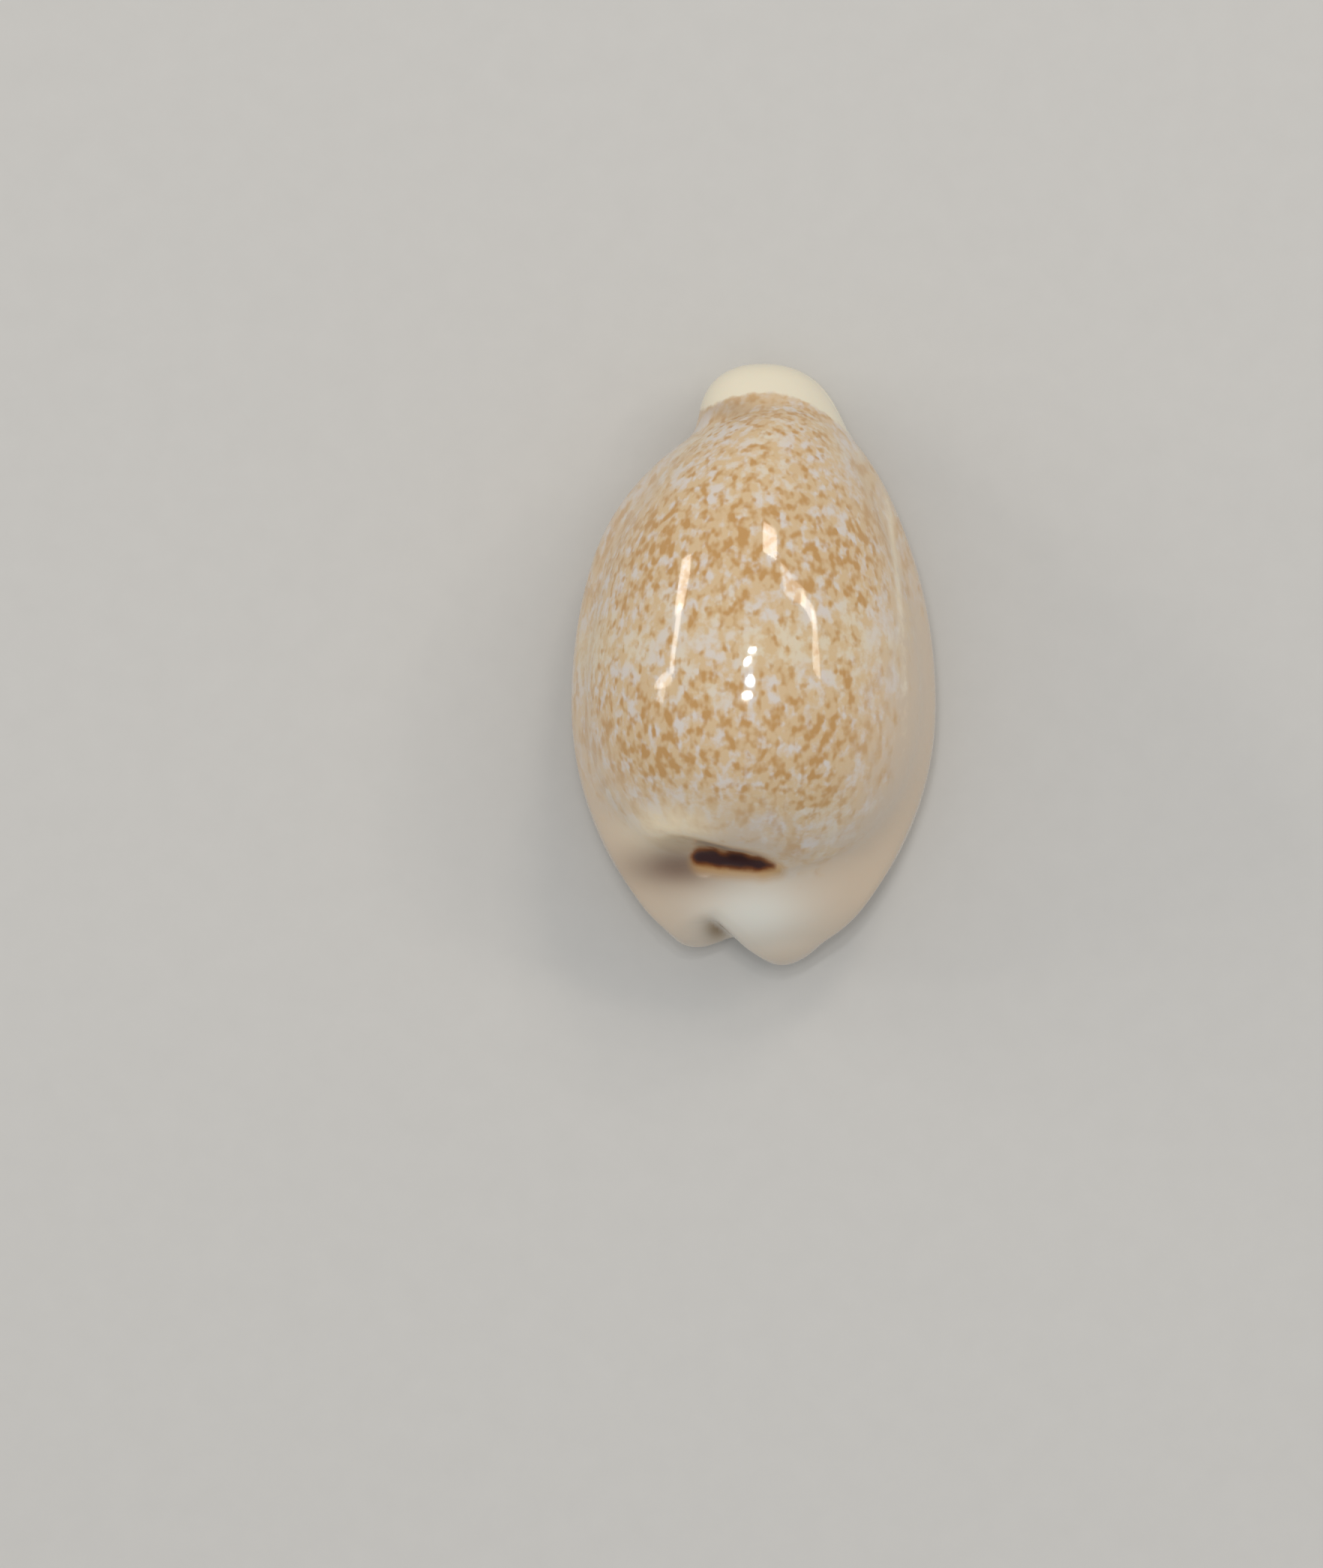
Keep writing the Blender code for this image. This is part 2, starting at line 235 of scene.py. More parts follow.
# How fast the spire's mark and its glow end below the upper side and on the wall in front of the trough
SPIRE_FALL = 3.0
SPIRE_WALL_Z = 6.5
SPIRE_WALL_FALL = 0.4

# Soft marks: the shade in the hollow beside the spire, painted light on the ridge in front of it, the
# pale callus and the shade in the notch
SPOT_FALL = 1.5
SHADE_CENTRE = (-2.8, -7.4)
SHADE_RADII = (2.2, 0.95)
SHADE_STRENGTH = 0.8
# Painted light on the ridge in front of the spire, which is made paler there
RIDGE_LIGHT_CENTRE = (-3.0, -5.9)
RIDGE_LIGHT_RADII = (1.7, 0.95)
RIDGE_LIGHT_STRENGTH = 0.75
CALLUS_PALE_CENTRE = (0.0, -9.1)
CALLUS_PALE_RADII = (2.6, 1.7)
CANAL_SHADE_CENTRE = (-1.32, -9.65)
CANAL_SHADE_RADII = (0.62, 0.6)
CANAL_SHADE_STRENGTH = 0.85
# The shade in the notch ends at the edge of the outer lobe, a line seen from above.
LOBE_EDGE_NORMAL = (0.6, 0.8)
LOBE_EDGE_OFFSET = -8.22
LOBE_EDGE_FADE = 0.3

# Where the marks of the upper side end, and where the plain base takes over
UPPER_LOW_Z = 2.2
UPPER_FADE = 0.6
BASE_TOP_Z = 1.6
BASE_FADE = 1.2

# The lilac of the inside starts this deep in the shell, and leaves out the notch.
INSIDE_DEPTH = 0.35
INSIDE_FADE = 0.4
NOTCH_CLEARANCE = 0.1
NOTCH_FADE = 0.3

# How dense the brown is along the back: middle of a band, half width, strength
BANDS = ((9.4, 0.7, 0.4), (4.0, 2.0, 0.62), (0.9, 1.2, -0.5), (-2.9, 1.8, 0.7), (-5.9, 0.9, 0.1))
# The freckles are dense again round the outer end of the spire.
TAIL_CENTRE = (1.15, -6.85)
TAIL_RADII = (0.95, 0.5)
TAIL_STRENGTH = 1.5

# The painted highlight along the outer side of the back, a pale line seen from above as a flat arch
LINE_X = 5.47
LINE_Y = -1.7
LINE_CURVE = 0.0108
LINE_ENDS = (-3.6, 5.6)
LINE_WIDTH = 0.13
FLANK_HIGHLIGHT_STRENGTH = 0.7

# The freckles: a pale veil and darker spots in it, round on the back and drawn out along the flanks.
# Pairs give the back's value and the flanks'.
FLANK_DEPTHS = (2.6, 1.0)
CLOUDS_PER_MM = 0.5
CLOUD_SHARE = 0.18
CLOUD_SHIFT = (2.0, 8.0, 4.0)
BAND_SHARE = 0.1
GRAIN_PER_MM = 6.0
GRAIN_SHARE = 0.25
GRAIN_SHIFT = (5.0, 0.0, 2.0)
VEIL_PER_MM = (2.35, 2.1)
VEIL_STRETCH = ((1.0, 0.75, 1.0), (1.0, 0.45, 0.6))
VEIL_SHIFT = ((0.0, 0.0, 0.0), (7.0, 3.0, 1.0))
VEIL_STEP = (0.32, 0.6)
VEIL_STRENGTH = (0.92, 0.75)
SPOTS_PER_MM = (3.1, 2.7)
SPOT_STRETCH = ((1.0, 0.7, 1.0), (1.0, 0.4, 0.6))
SPOT_SHIFT = ((20.0, 5.0, 9.0), (3.0, 31.0, 9.0))
SPOT_STEP = (0.49, 0.78)
SPOT_STRENGTH = (1.0, 0.58)
SPOTS_WITH_VEIL = 0.4
CLOUD_STEP = (0.35, 0.65)
CREAM_STEP = (0.1, 1.3)
# How fine the ragged borders of the coat, the cap and the spire are
RAGGED_PER_MM = 1.8

# The gloss: roughness of smooth and of worn places, sheen of pale and of dark ones, and slight waves
WEAR_PER_MM = 2.5
WEAR_STEP = (0.3, 0.8)
ROUGHNESS = (0.04, 0.1)
SPIRE_ROUGHNESS = 0.6
SHEEN = (0.5, 0.1)
WAVES_PER_MM = 0.7
RIPPLES_PER_MM = 4.0
RIPPLE_SHARE = 0.008
WAVE_HEIGHT = 0.025
SHELL_IOR = 1.55
SCATTER_SHARE = 0.15
SCATTER_BY_COLOUR = (1.0, 0.6, 0.4)
SCATTER_DEPTH = 0.4

# The floor, in metres, and how much darker its grain gets
FLOOR_HALF = 0.6
FLOOR_ROUGHNESS = 0.85
FLOOR_GRAIN_PER_MM = 0.8
FLOOR_GRAIN_DEPTH = 5

# The standard curve of screen colours
SCREEN_STEPS = 255.0
SCREEN_KNEE = 0.04045
SCREEN_SLOPE = 12.92
SCREEN_OFFSET = 0.055
SCREEN_POWER = 2.4

# Colours, as seen in the photograph
GAP_COLOUR = (217, 208, 200)
CREAM_COLOUR = (222, 208, 182)
VEIL_COLOUR = (214, 185, 142)
SPOT_COLOUR = (194, 150, 92)
# Painted highlight: the pale line along the outer flank
FLANK_HIGHLIGHT_COLOUR = (240, 228, 202)
MARGIN_COLOUR = (210, 191, 168)
CAP_COLOUR = (232, 224, 202)
# Painted shade for the valley behind the cap
VALLEY_SHADE_COLOUR = (170, 146, 120)
CALLUS_COLOUR = (228, 225, 214)
# Painted light for the ridge in front of the spire
RIDGE_LIGHT_COLOUR = (250, 232, 198)
BASE_COLOUR = (230, 220, 202)
INSIDE_COLOUR = (196, 180, 178)
SPIRE_COLOUR = (60, 36, 36)
RUST_COLOUR = (134, 76, 30)
GLOW_COLOUR = (196, 154, 96)
SHADE_COLOUR = (108, 84, 72)
# Painted shade in the notch
NOTCH_SHADE_COLOUR = (122, 90, 28)
FLOOR_COLOUR = (206, 205, 202)

# The camera and the field that the photograph covers. Its height and clipping are in metres.
CAMERA_HEIGHT = 0.6
CAMERA_CLIP = (0.01, 10.0)
FRAME_HEIGHT = 57.3
FRAME_MIDDLE = (-3.36, -4.38)
SENSOR_HEIGHT = 24.0

# Lamps, by how their reflections show on the shell's back: start, end and width of each, and its
# brightness. Their distance is in metres.
LAMP_DISTANCE = 0.4
DISC_HIGHLIGHTS = ((-0.04, 0.47), (-0.21, -0.03), (-0.12, -0.66), (-0.26, -1.2))
DISC_RADIUS = 0.15
DISC_BRIGHTNESS = 60.0
DISC_COLOUR = (1.0, 1.0, 1.0)
BLOB_HIGHLIGHT = (-3.28, -0.7)
BLOB_RADIUS = 0.32
BLOB_BRIGHTNESS = 6.0
STRIP_HIGHLIGHTS = (
    ((-2.42, 3.9), (-2.66, 2.1), 0.32, 8.0),
    ((-2.64, 2.3), (-3.0, -0.4), 0.18, 7.0),
    ((-3.32, -0.9), (-3.4, -1.5), 0.2, 4.0),
    ((0.95, 3.1), (1.8, 2.35), 0.6, 4.5),
    ((1.6, 2.5), (2.2, 1.5), 0.4, 6.0),
    ((2.2, 1.7), (2.24, -0.5), 0.22, 6.0),
    ((0.6, 5.03), (0.5, 3.8), 0.55, 9.0),
)
STRIP_COLOUR = (1.0, 0.9, 0.78)
WORLD_COLOUR = (0.96, 0.98, 1.0)
WORLD_STRENGTH = 0.5


def soft_join(a, b, blend):
    """Union of two fields with a fillet about as wide as the blend."""
    share = np.clip(0.5 + 0.5 * (b - a) / blend, 0.0, 1.0)
    return b + (a - b) * share - blend * share * (1.0 - share)


def soft_cut(body, cutter, blend):
    """The body without the cutter, with a rounded edge."""
    return -soft_join(-body, cutter, blend)


def rounded_body(plan, plan_slope, rise, fullness):
    """Field of a body from its plan value and slope, and from its rise.

    The plan value is 1 on the outline, and the rise is a height as a share of the body's own, with
    that share's slope.
    """
    size = (plan**fullness + np.abs(rise[0]) ** fullness) ** (1.0 / fullness) + TINY
    level = (np.abs(rise[0]) / size) ** (fullness - 1.0) * rise[1]
    across = (plan / size) ** (fullness - 1.0) * plan_slope
    return (size - 1.0) / np.hypot(across, level)


def egg_plan(x, y, centre_y, half_width, posterior, anterior):
    """Value and slope of the egg outline: 1 on the outline, less inside.

    Each end has a reach and a fullness.
    """
    lean = LEAN * np.maximum(y - LEAN_START_Y, 0.0) ** 2
    turn = 0.5 + 0.5 * np.tanh((y - centre_y) / EGG_TURN)
    reach = posterior[0] + (anterior[0] - posterior[0]) * turn
    fullness = posterior[1] + (anterior[1] - posterior[1]) * turn
    across = np.abs(x - lean) / half_width
    along = np.abs(y - centre_y) / reach
    plan = (across**fullness + along**fullness) ** (1.0 / fullness) + TINY
    power = fullness - 1.0
    slope = np.hypot((across / plan) ** power / half_width, (along / plan) ** power / reach)
    return plan, slope


def ellipsoid(x, y, z, centre, radii, fullness=2.0):
    """Field of a rounded box-like ellipsoid; a fullness of 2 is a true one."""
    shares = [np.abs(v - c) / r for v, c, r in zip((x, y, z), centre, radii)]
    size = sum(s**fullness for s in shares) ** (1.0 / fullness) + TINY
    slope = np.sqrt(sum(((s / size) ** (fullness - 1.0) / r) ** 2 for s, r in zip(shares, radii)))
    return (size - 1.0) / slope


def capsule(x, y, z, start, end, radius):
    """Distance to a round bar between two points."""
    start = np.array(start)
    axis = np.array(end) - start
    offset = (x - start[0], y - start[1], z - start[2])
    share = sum(o * a for o, a in zip(offset, axis)) / np.dot(axis, axis)
    share = np.clip(share, 0.0, 1.0)
    return np.sqrt(sum((o - a * share) ** 2 for o, a in zip(offset, axis))) - radius


def margin_body(x, y, z):
    half_width = WIDTH / 2 - MARGIN_INSET
    posterior = (POSTERIOR_REACH, POSTERIOR_FULLNESS)
    anterior = (ANTERIOR_REACH, ANTERIOR_FULLNESS)
    plan, slope = egg_plan(x, y, WIDEST_Y, half_width, posterior, anterior)
    over = z - MARGIN_Z
    upper = rounded_body(plan, slope, (over / MARGIN_RISE, 1.0 / MARGIN_RISE), MARGIN_FULLNESS)
    lower = rounded_body(plan, slope, (over / MARGIN_DEPTH, 1.0 / MARGIN_DEPTH), BASE_FULLNESS)
    return np.where(over > 0.0, upper, lower)


def dome_body(x, y, z):
    posterior = (DOME_POSTERIOR, POSTERIOR_FULLNESS)
    anterior = (DOME_ANTERIOR, DOME_ANTERIOR_FULLNESS)
    plan, slope = egg_plan(x, y, DOME_Y, DOME_HALF_WIDTH, posterior, anterior)
    rise = np.where(z > DOME_Z, HEIGHT - DOME_Z, DOME_DEPTH)
    return rounded_body(plan, slope, ((z - DOME_Z) / rise, 1.0 / rise), DOME_FULLNESS)


def notch_cutter(x, y, z):
    rise = np.clip((z - NOTCH_LOW_Z) / (NOTCH_HIGH_Z - NOTCH_LOW_Z), 0.0, NOTCH_RISE_LIMIT)
    from_x = x - (NOTCH_POINT[0] + NOTCH_RISE_SHIFT[0] * rise)
    from_y = y - (NOTCH_POINT[1] + NOTCH_RISE_SHIFT[1] * rise)
    inner = from_x * NOTCH_INNER_NORMAL[0] + from_y * NOTCH_INNER_NORMAL[1]
    outer = from_x * NOTCH_OUTER_NORMAL[0] + from_y * NOTCH_OUTER_NORMAL[1]
    return -soft_join(-inner, -outer, NOTCH_ROUNDING)


def canal_share(y):
    """How far the slit has turned into the posterior canal, from 0 to 1."""
    share = np.clip((CANAL_START_Y - y) / (CANAL_START_Y - CANAL_END_Y), 0.0, 1.0)
    return share * share * (3.0 - 2.0 * share)


def slit_middle(y):
    anterior = np.maximum(y - SLIT_MIDDLE_Y, 0.0) / SLIT_ANTERIOR_SPAN
    posterior = np.maximum(SLIT_MIDDLE_Y - y, 0.0) / SLIT_POSTERIOR_SPAN
    bend = SLIT_ANTERIOR_BEND * anterior**2 + SLIT_POSTERIOR_BEND * posterior**SLIT_POSTERIOR_POWER
    return SLIT_MIDDLE_X - bend


def slit_half_width(y):
    widening = np.exp(-(((y - SLIT_WIDEST_Y) / SLIT_WIDENING_SPAN) ** 2))
    open_width = SLIT_HALF_WIDTH + SLIT_ANTERIOR_WIDENING * widening
    return open_width + (CANAL_HALF_WIDTH - open_width) * canal_share(y)


def slit_cutter(x, y, z):
    """The aperture and the two canals that it runs out into."""
    lean = CANAL_LEAN * canal_share(y) * (z - CANAL_LEAN_Z)
    wall = np.abs(x - slit_middle(y) + lean) - slit_half_width(y)
    near_end = np.clip((np.abs(y) - SLIT_ROOF_FALL_Y) / SLIT_ROOF_FALL_SPAN, 0.0, 1.0)
    roof = SLIT_ROOF_Z + (SLIT_END_ROOF_Z - SLIT_ROOF_Z) * near_end
    roof = roof + CANAL_BREAKOUT_RISE * np.maximum(CANAL_BREAKOUT_Y - y, 0.0)
    return -soft_join(-wall, roof - z, SLIT_ROOF_ROUNDING)


def groove_cutter(x, y, z, side):
    """The grooves between the teeth of one lip, from the slit's wall out onto the base."""
    out = side * (x - slit_middle(y)) - slit_half_width(y)
    count = round((TOOTH_LAST_Y - TOOTH_FIRST_Y) / TOOTH_PITCH)
    number = np.clip(np.round((y - TOOTH_FIRST_Y) / TOOTH_PITCH), 0, count)
    along = y - TOOTH_FIRST_Y - number * TOOTH_PITCH
    top = (0.0, 0.0, GROOVE_TOP_Z)
    turn = (0.0, 0.0, GROOVE_TURN_Z)
    end = (GROOVE_OUT, 0.0, GROOVE_END_Z)
    wall = capsule(out, along, z, top, turn, GROOVE_RADIUS)
    base = capsule(out, along, z, turn, end, GROOVE_RADIUS)
    return np.minimum(wall, base)


def whorl_body(x, y, z):
    """The outside of the last whorl, whose wall follows it."""
    body = soft_join(dome_body(x, y, z), margin_body(x, y, z), DOME_BLEND)
    callus = ellipsoid(x, y, z, CALLUS_CENTRE, CALLUS_RADII, CALLUS_FULLNESS)
    body = soft_join(body, callus, CALLUS_BLEND)
    slant = y + SPIRE_TILT * (x - SPIRE_CENTRE[0])
    body = soft_cut(body, ellipsoid(x, slant, z, SPIRE_CENTRE, SPIRE_RADII), SPIRE_BLEND)
    return soft_cut(body, ellipsoid(x, y, z, HOLLOW_CENTRE, HOLLOW_RADII), SPIRE_BLEND)


def shell_field(x, y, z):
    body = whorl_body(x, y, z)
    wall = WALL + BASE_WALL * (0.5 - 0.5 * np.tanh((z - WALL_CHANGE_Z) / WALL_CHANGE_SPAN))
    notch = notch_cutter(x, y, z)
    inside = soft_cut(body + wall, notch - NOTCH_WALL, SLIT_BLEND)
    tilted = x + SNOUT_TILT * (y - SNOUT_CENTRE[1])
    snout = ellipsoid(tilted, y, z, SNOUT_CENTRE, SNOUT_RADII, SNOUT_FULLNESS)
    outer = soft_join(body, snout, SNOUT_BLEND)
    for centre, radii in (
        (OUTER_LOBE_CENTRE, OUTER_LOBE_RADII),
        (INNER_LOBE_CENTRE, INNER_LOBE_RADII),
    ):
        outer = soft_join(outer, ellipsoid(x, y, z, centre, radii), LOBE_BLEND)
    outer = soft_cut(outer, notch, NOTCH_BLEND)
    opening = soft_join(inside, slit_cutter(x, y, z), SLIT_BLEND)
    shell = soft_cut(outer, opening, SLIT_BLEND)
    for side in (-1.0, 1.0):
        shell = soft_cut(shell, groove_cutter(x, y, z, side), GROOVE_BLEND)
    return np.maximum(shell, -z)


def grid_axes(step):
    margin = GRID_MARGIN * step
    half_x = WIDTH / 2 + margin
    half_y = LENGTH / 2 + margin
    return (
        np.arange(-half_x, half_x, step),
        np.arange(-half_y, half_y, step),
        np.arange(-margin, HEIGHT + margin, step),
    )


def break_ties(values):
    """Flips the weakest corner of each grid square whose corners alternate in sign.

    Such a square would make four faces meet at one edge.
    """
    steps = np.eye(3, dtype=int)
    for _ in range(TIE_ROUNDS):
        for first, second in ((0, 1), (0, 2), (1, 2)):
            corners = (0 * steps[first], steps[first], steps[first] + steps[second], steps[second])
            inside = [np.roll(values < 0, -corner, axis=(0, 1, 2)) for corner in corners]
            tied = (inside[0] == inside[2]) & (inside[1] == inside[3]) & (inside[0] != inside[1])
            for square in np.argwhere(tied):
                spots = [tuple(square + corner) for corner in corners]
                weakest = min(spots, key=lambda spot: abs(values[spot]))
                values[weakest] = -np.sign(values[weakest]) * SLOPE_STEP
    return values


def zero_level(values, axes, step):
    """Points and four-sided faces of the field's zero level, one point in each cell that it crosses."""
    cells = tuple(n - 1 for n in values.shape)
    total = np.zeros(cells + (3,))
    count = np.zeros(cells)
    crossings = []
    for axis in range(3):
        low = np.take(values, range(values.shape[axis] - 1), axis)
        high = np.take(values, range(1, values.shape[axis]), axis)
        edges = np.argwhere((low < 0) != (high < 0))
        near, far = low[tuple(edges.T)], high[tuple(edges.T)]
        spots = edges.astype(float)
        spots[:, axis] += near / (near - far)
        first, second = [other for other in range(3) if other != axis]
        ring = []
        for back_first, back_second in ((1, 1), (0, 1), (0, 0), (1, 0)):
            cell = edges.copy()
            cell[:, first] -= back_first
            cell[:, second] -= back_second
            np.add.at(total, tuple(cell.T), spots)
            np.add.at(count, tuple(cell.T), 1)
            ring.append(cell)
        crossings.append((axis, ring, near < 0))
    used = count > 0
    index = np.full(cells, -1)
    index[used] = np.arange(used.sum())
    origin = np.array([a[0] for a in axes])
    points = total[used] / count[used][:, None] * step + origin
    faces = []
    for axis, ring, leaving in crossings:
        quads = np.stack([index[tuple(cell.T)] for cell in ring], axis=1)
        flip = leaving if axis == 1 else ~leaving
        quads[flip] = quads[flip][:, ::-1]
        faces.append(quads)
    return points, np.concatenate(faces)


def field_slope(points):
    """Direction in which the field grows fastest, not scaled to one."""
    slope = np.empty_like(points)
    for axis in range(3):
        ahead = points.copy()
        ahead[:, axis] += SLOPE_STEP
        behind = points.copy()
        behind[:, axis] -= SLOPE_STEP
        slope[:, axis] = (shell_field(*ahead.T) - shell_field(*behind.T)) / (2 * SLOPE_STEP)
    return slope


def settle(points):
    """Moves the points onto the field's zero level along its slope."""
    for _ in range(SETTLE_ROUNDS):
        value = shell_field(*points.T)
        slope = field_slope(points)
        steep = np.maximum((slope**2).sum(1), LEAST_SLOPE**2)
        move = slope * (value / steep)[:, None]
        length = np.maximum(np.linalg.norm(move, axis=1), TINY)
        points = points - move * np.minimum(1.0, LONGEST_MOVE * GRID_STEP / length)[:, None]
    return points


def even_out(points, faces):
    """Spreads the points more evenly over the surface."""
    for _ in range(EVEN_ROUNDS):
        total = np.zeros_like(points)
        count = np.zeros(len(points))
        for corner in range(4):
            here, there = faces[:, corner], faces[:, (corner + 1) % 4]
            np.add.at(total, here, points[there])
            np.add.at(total, there, points[here])
            np.add.at(count, here, 1)
            np.add.at(count, there, 1)
        points = points + EVEN_SHARE * (total / count[:, None] - points)
        points = settle(points)
    return points


def stroke_distance(x, y, start, end, first_radius, last_radius):
    """Distance in plan to a straight stroke whose width tapers, negative inside."""
    axis = np.array(end) - np.array(start)
    along = (x - start[0]) * axis[0] + (y - start[1]) * axis[1]
    share = np.clip(along / np.dot(axis, axis), 0.0, 1.0)
    away = np.hypot(x - start[0] - axis[0] * share, y - start[1] - axis[1] * share)
    return away - (first_radius + (last_radius - first_radius) * share)


def spire_distance(x, y):
    nearest = np.full_like(x, FAR)
    for stroke in SPIRE_STROKES:
        nearest = soft_join(nearest, stroke_distance(x, y, *stroke), STROKE_BLEND)
    return nearest


def depth_in_outline(x, y, outline):
    """How far a place is inside a closed outline, in plan; negative outside."""
    nearest = np.full_like(x, np.inf)
    inside = np.zeros(x.shape, bool)
    for start, end in zip(outline, outline[1:] + outline[:1]):
        nearest = np.minimum(nearest, stroke_distance(x, y, start, end, 0.0, 0.0))
        crosses = (start[1] > y) != (end[1] > y)
        rise = end[1] - start[1] if end[1] != start[1] else TINY
        inside ^= crosses & (x < start[0] + (end[0] - start[0]) * (y - start[1]) / rise)
    return np.where(inside, nearest, -nearest)


def soft_spot(x, y, centre, radii):
    """1 in the middle of an oval, fading away smoothly past its radii."""
    return np.exp(-SPOT_FALL * (((x - centre[0]) / radii[0]) ** 2 + ((y - centre[1]) / radii[1]) ** 2))


def canal_shade(x, y):
    """1 in the middle of the shade in the notch, 0 on the outer lobe."""
    within = LOBE_EDGE_OFFSET - LOBE_EDGE_NORMAL[0] * x - LOBE_EDGE_NORMAL[1] * y
    shade = soft_spot(x, y, CANAL_SHADE_CENTRE, CANAL_SHADE_RADII)
    return shade * np.clip(within / LOBE_EDGE_FADE, 0.0, 1.0)


def band_density(y):
    density = 0.0
    for middle, half_width, strength in BANDS:
        density = density + strength * np.exp(-(((y - middle) / half_width) ** 2))
    return density


def cap_depth(x, y):
    """How far a place is beyond the border of the plain cap, in plan; negative on the spotted coat."""
    curve = np.where(x < CAP_TOP[0], CAP_INNER_CURVE, CAP_OUTER_CURVE)
    arch = CAP_TOP[1] - curve * np.abs(x - CAP_TOP[0]) ** CAP_POWER
    return np.minimum(y - arch, y - CAP_BACK_Y)


def flank_highlight_share(x, y):
    """1 along the middle of the pale line of painted highlight, 0 away from it."""
    away = np.abs(x - LINE_X + LINE_CURVE * (y - LINE_Y) ** 2)
    beyond = np.maximum(np.maximum(LINE_ENDS[0] - y, y - LINE_ENDS[1]), 0.0)
    return np.exp(-((away / LINE_WIDTH) ** 2) - beyond**2)


def inside_share(x, y, z):
    """1 on the walls of the hollow and of the aperture, 0 outside and in the notch."""
    depth = np.clip((-whorl_body(x, y, z) - INSIDE_DEPTH) / INSIDE_FADE, 0.0, 1.0)
    clear = np.clip((notch_cutter(x, y, z) - NOTCH_CLEARANCE) / NOTCH_FADE, 0.0, 1.0)
    return depth * clear


def markings(points):
    """Values over the surface that the paint's nodes read, by name."""
    x, y, z = points.T
    above = np.clip((z - UPPER_LOW_Z) / UPPER_FADE, 0.0, 1.0)
    away = SPIRE_FALL * (1.0 - above) + SPIRE_WALL_FALL * np.maximum(z - SPIRE_WALL_Z, 0.0)
    return {
        "coat": np.minimum(depth_in_outline(x, y, COAT_OUTLINE), z - COAT_LOW_Z),
        "cap": cap_depth(x, y),
        # painted shade in the valley behind the cap
        "valley_shade": soft_spot(x, y, VALLEY_SHADE_CENTRE, VALLEY_SHADE_RADII) * above,
        "spire": spire_distance(x, y) + away,
        "glow": spire_distance(x - GLOW_SHIFT[0], y - GLOW_SHIFT[1]) + away,
        "shade": soft_spot(x, y, SHADE_CENTRE, SHADE_RADII) * above,
        # painted light on the ridge in front of the spire
        "ridge_light": soft_spot(x, y, RIDGE_LIGHT_CENTRE, RIDGE_LIGHT_RADII) * above,
        "callus": soft_spot(x, y, CALLUS_PALE_CENTRE, CALLUS_PALE_RADII),
        "canal": canal_shade(x, y),
        # painted highlight along the outer flank
        "line": flank_highlight_share(x, y) * above,
        "base": np.clip((BASE_TOP_Z - z) / BASE_FADE, 0.0, 1.0),
        "inside": inside_share(x, y, z),
        "bands": band_density(y) + TAIL_STRENGTH * soft_spot(x, y, TAIL_CENTRE, TAIL_RADII),
    }


def shell_surface():
    axes = grid_axes(GRID_STEP)
    x, y, z = np.meshgrid(*axes, indexing="ij")
    points, faces = zero_level(break_ties(shell_field(x, y, z)), axes, GRID_STEP)
    points = even_out(settle(points), faces)
    mesh = bpy.data.meshes.new("shell_surface")
    mesh.from_pydata((points * MM).tolist(), [], faces.tolist())
    mesh.update()
    mesh.shade_smooth()
    normals = field_slope(points)
    normals /= np.maximum(np.linalg.norm(normals, axis=1), TINY)[:, None]
    mesh.normals_split_custom_set_from_vertices(normals.tolist())
    for name, values in markings(points).items():
        layer = mesh.attributes.new(name, "FLOAT", "POINT")
        layer.data.foreach_set("value", values.astype(np.float32))
    shell = bpy.data.objects.new("shell_surface", mesh)
    bpy.context.scene.collection.objects.link(shell)
    mesh.materials.append(porcelain())
    return shell


def srgb(colour):
    """Linear red, green, blue and alpha of a colour given as it shows on a screen."""
    shares = np.array(colour) / SCREEN_STEPS
    bright = ((shares + SCREEN_OFFSET) / (1.0 + SCREEN_OFFSET)) ** SCREEN_POWER
    linear = np.where(shares <= SCREEN_KNEE, shares / SCREEN_SLOPE, bright)
    return (*linear.tolist(), 1.0)


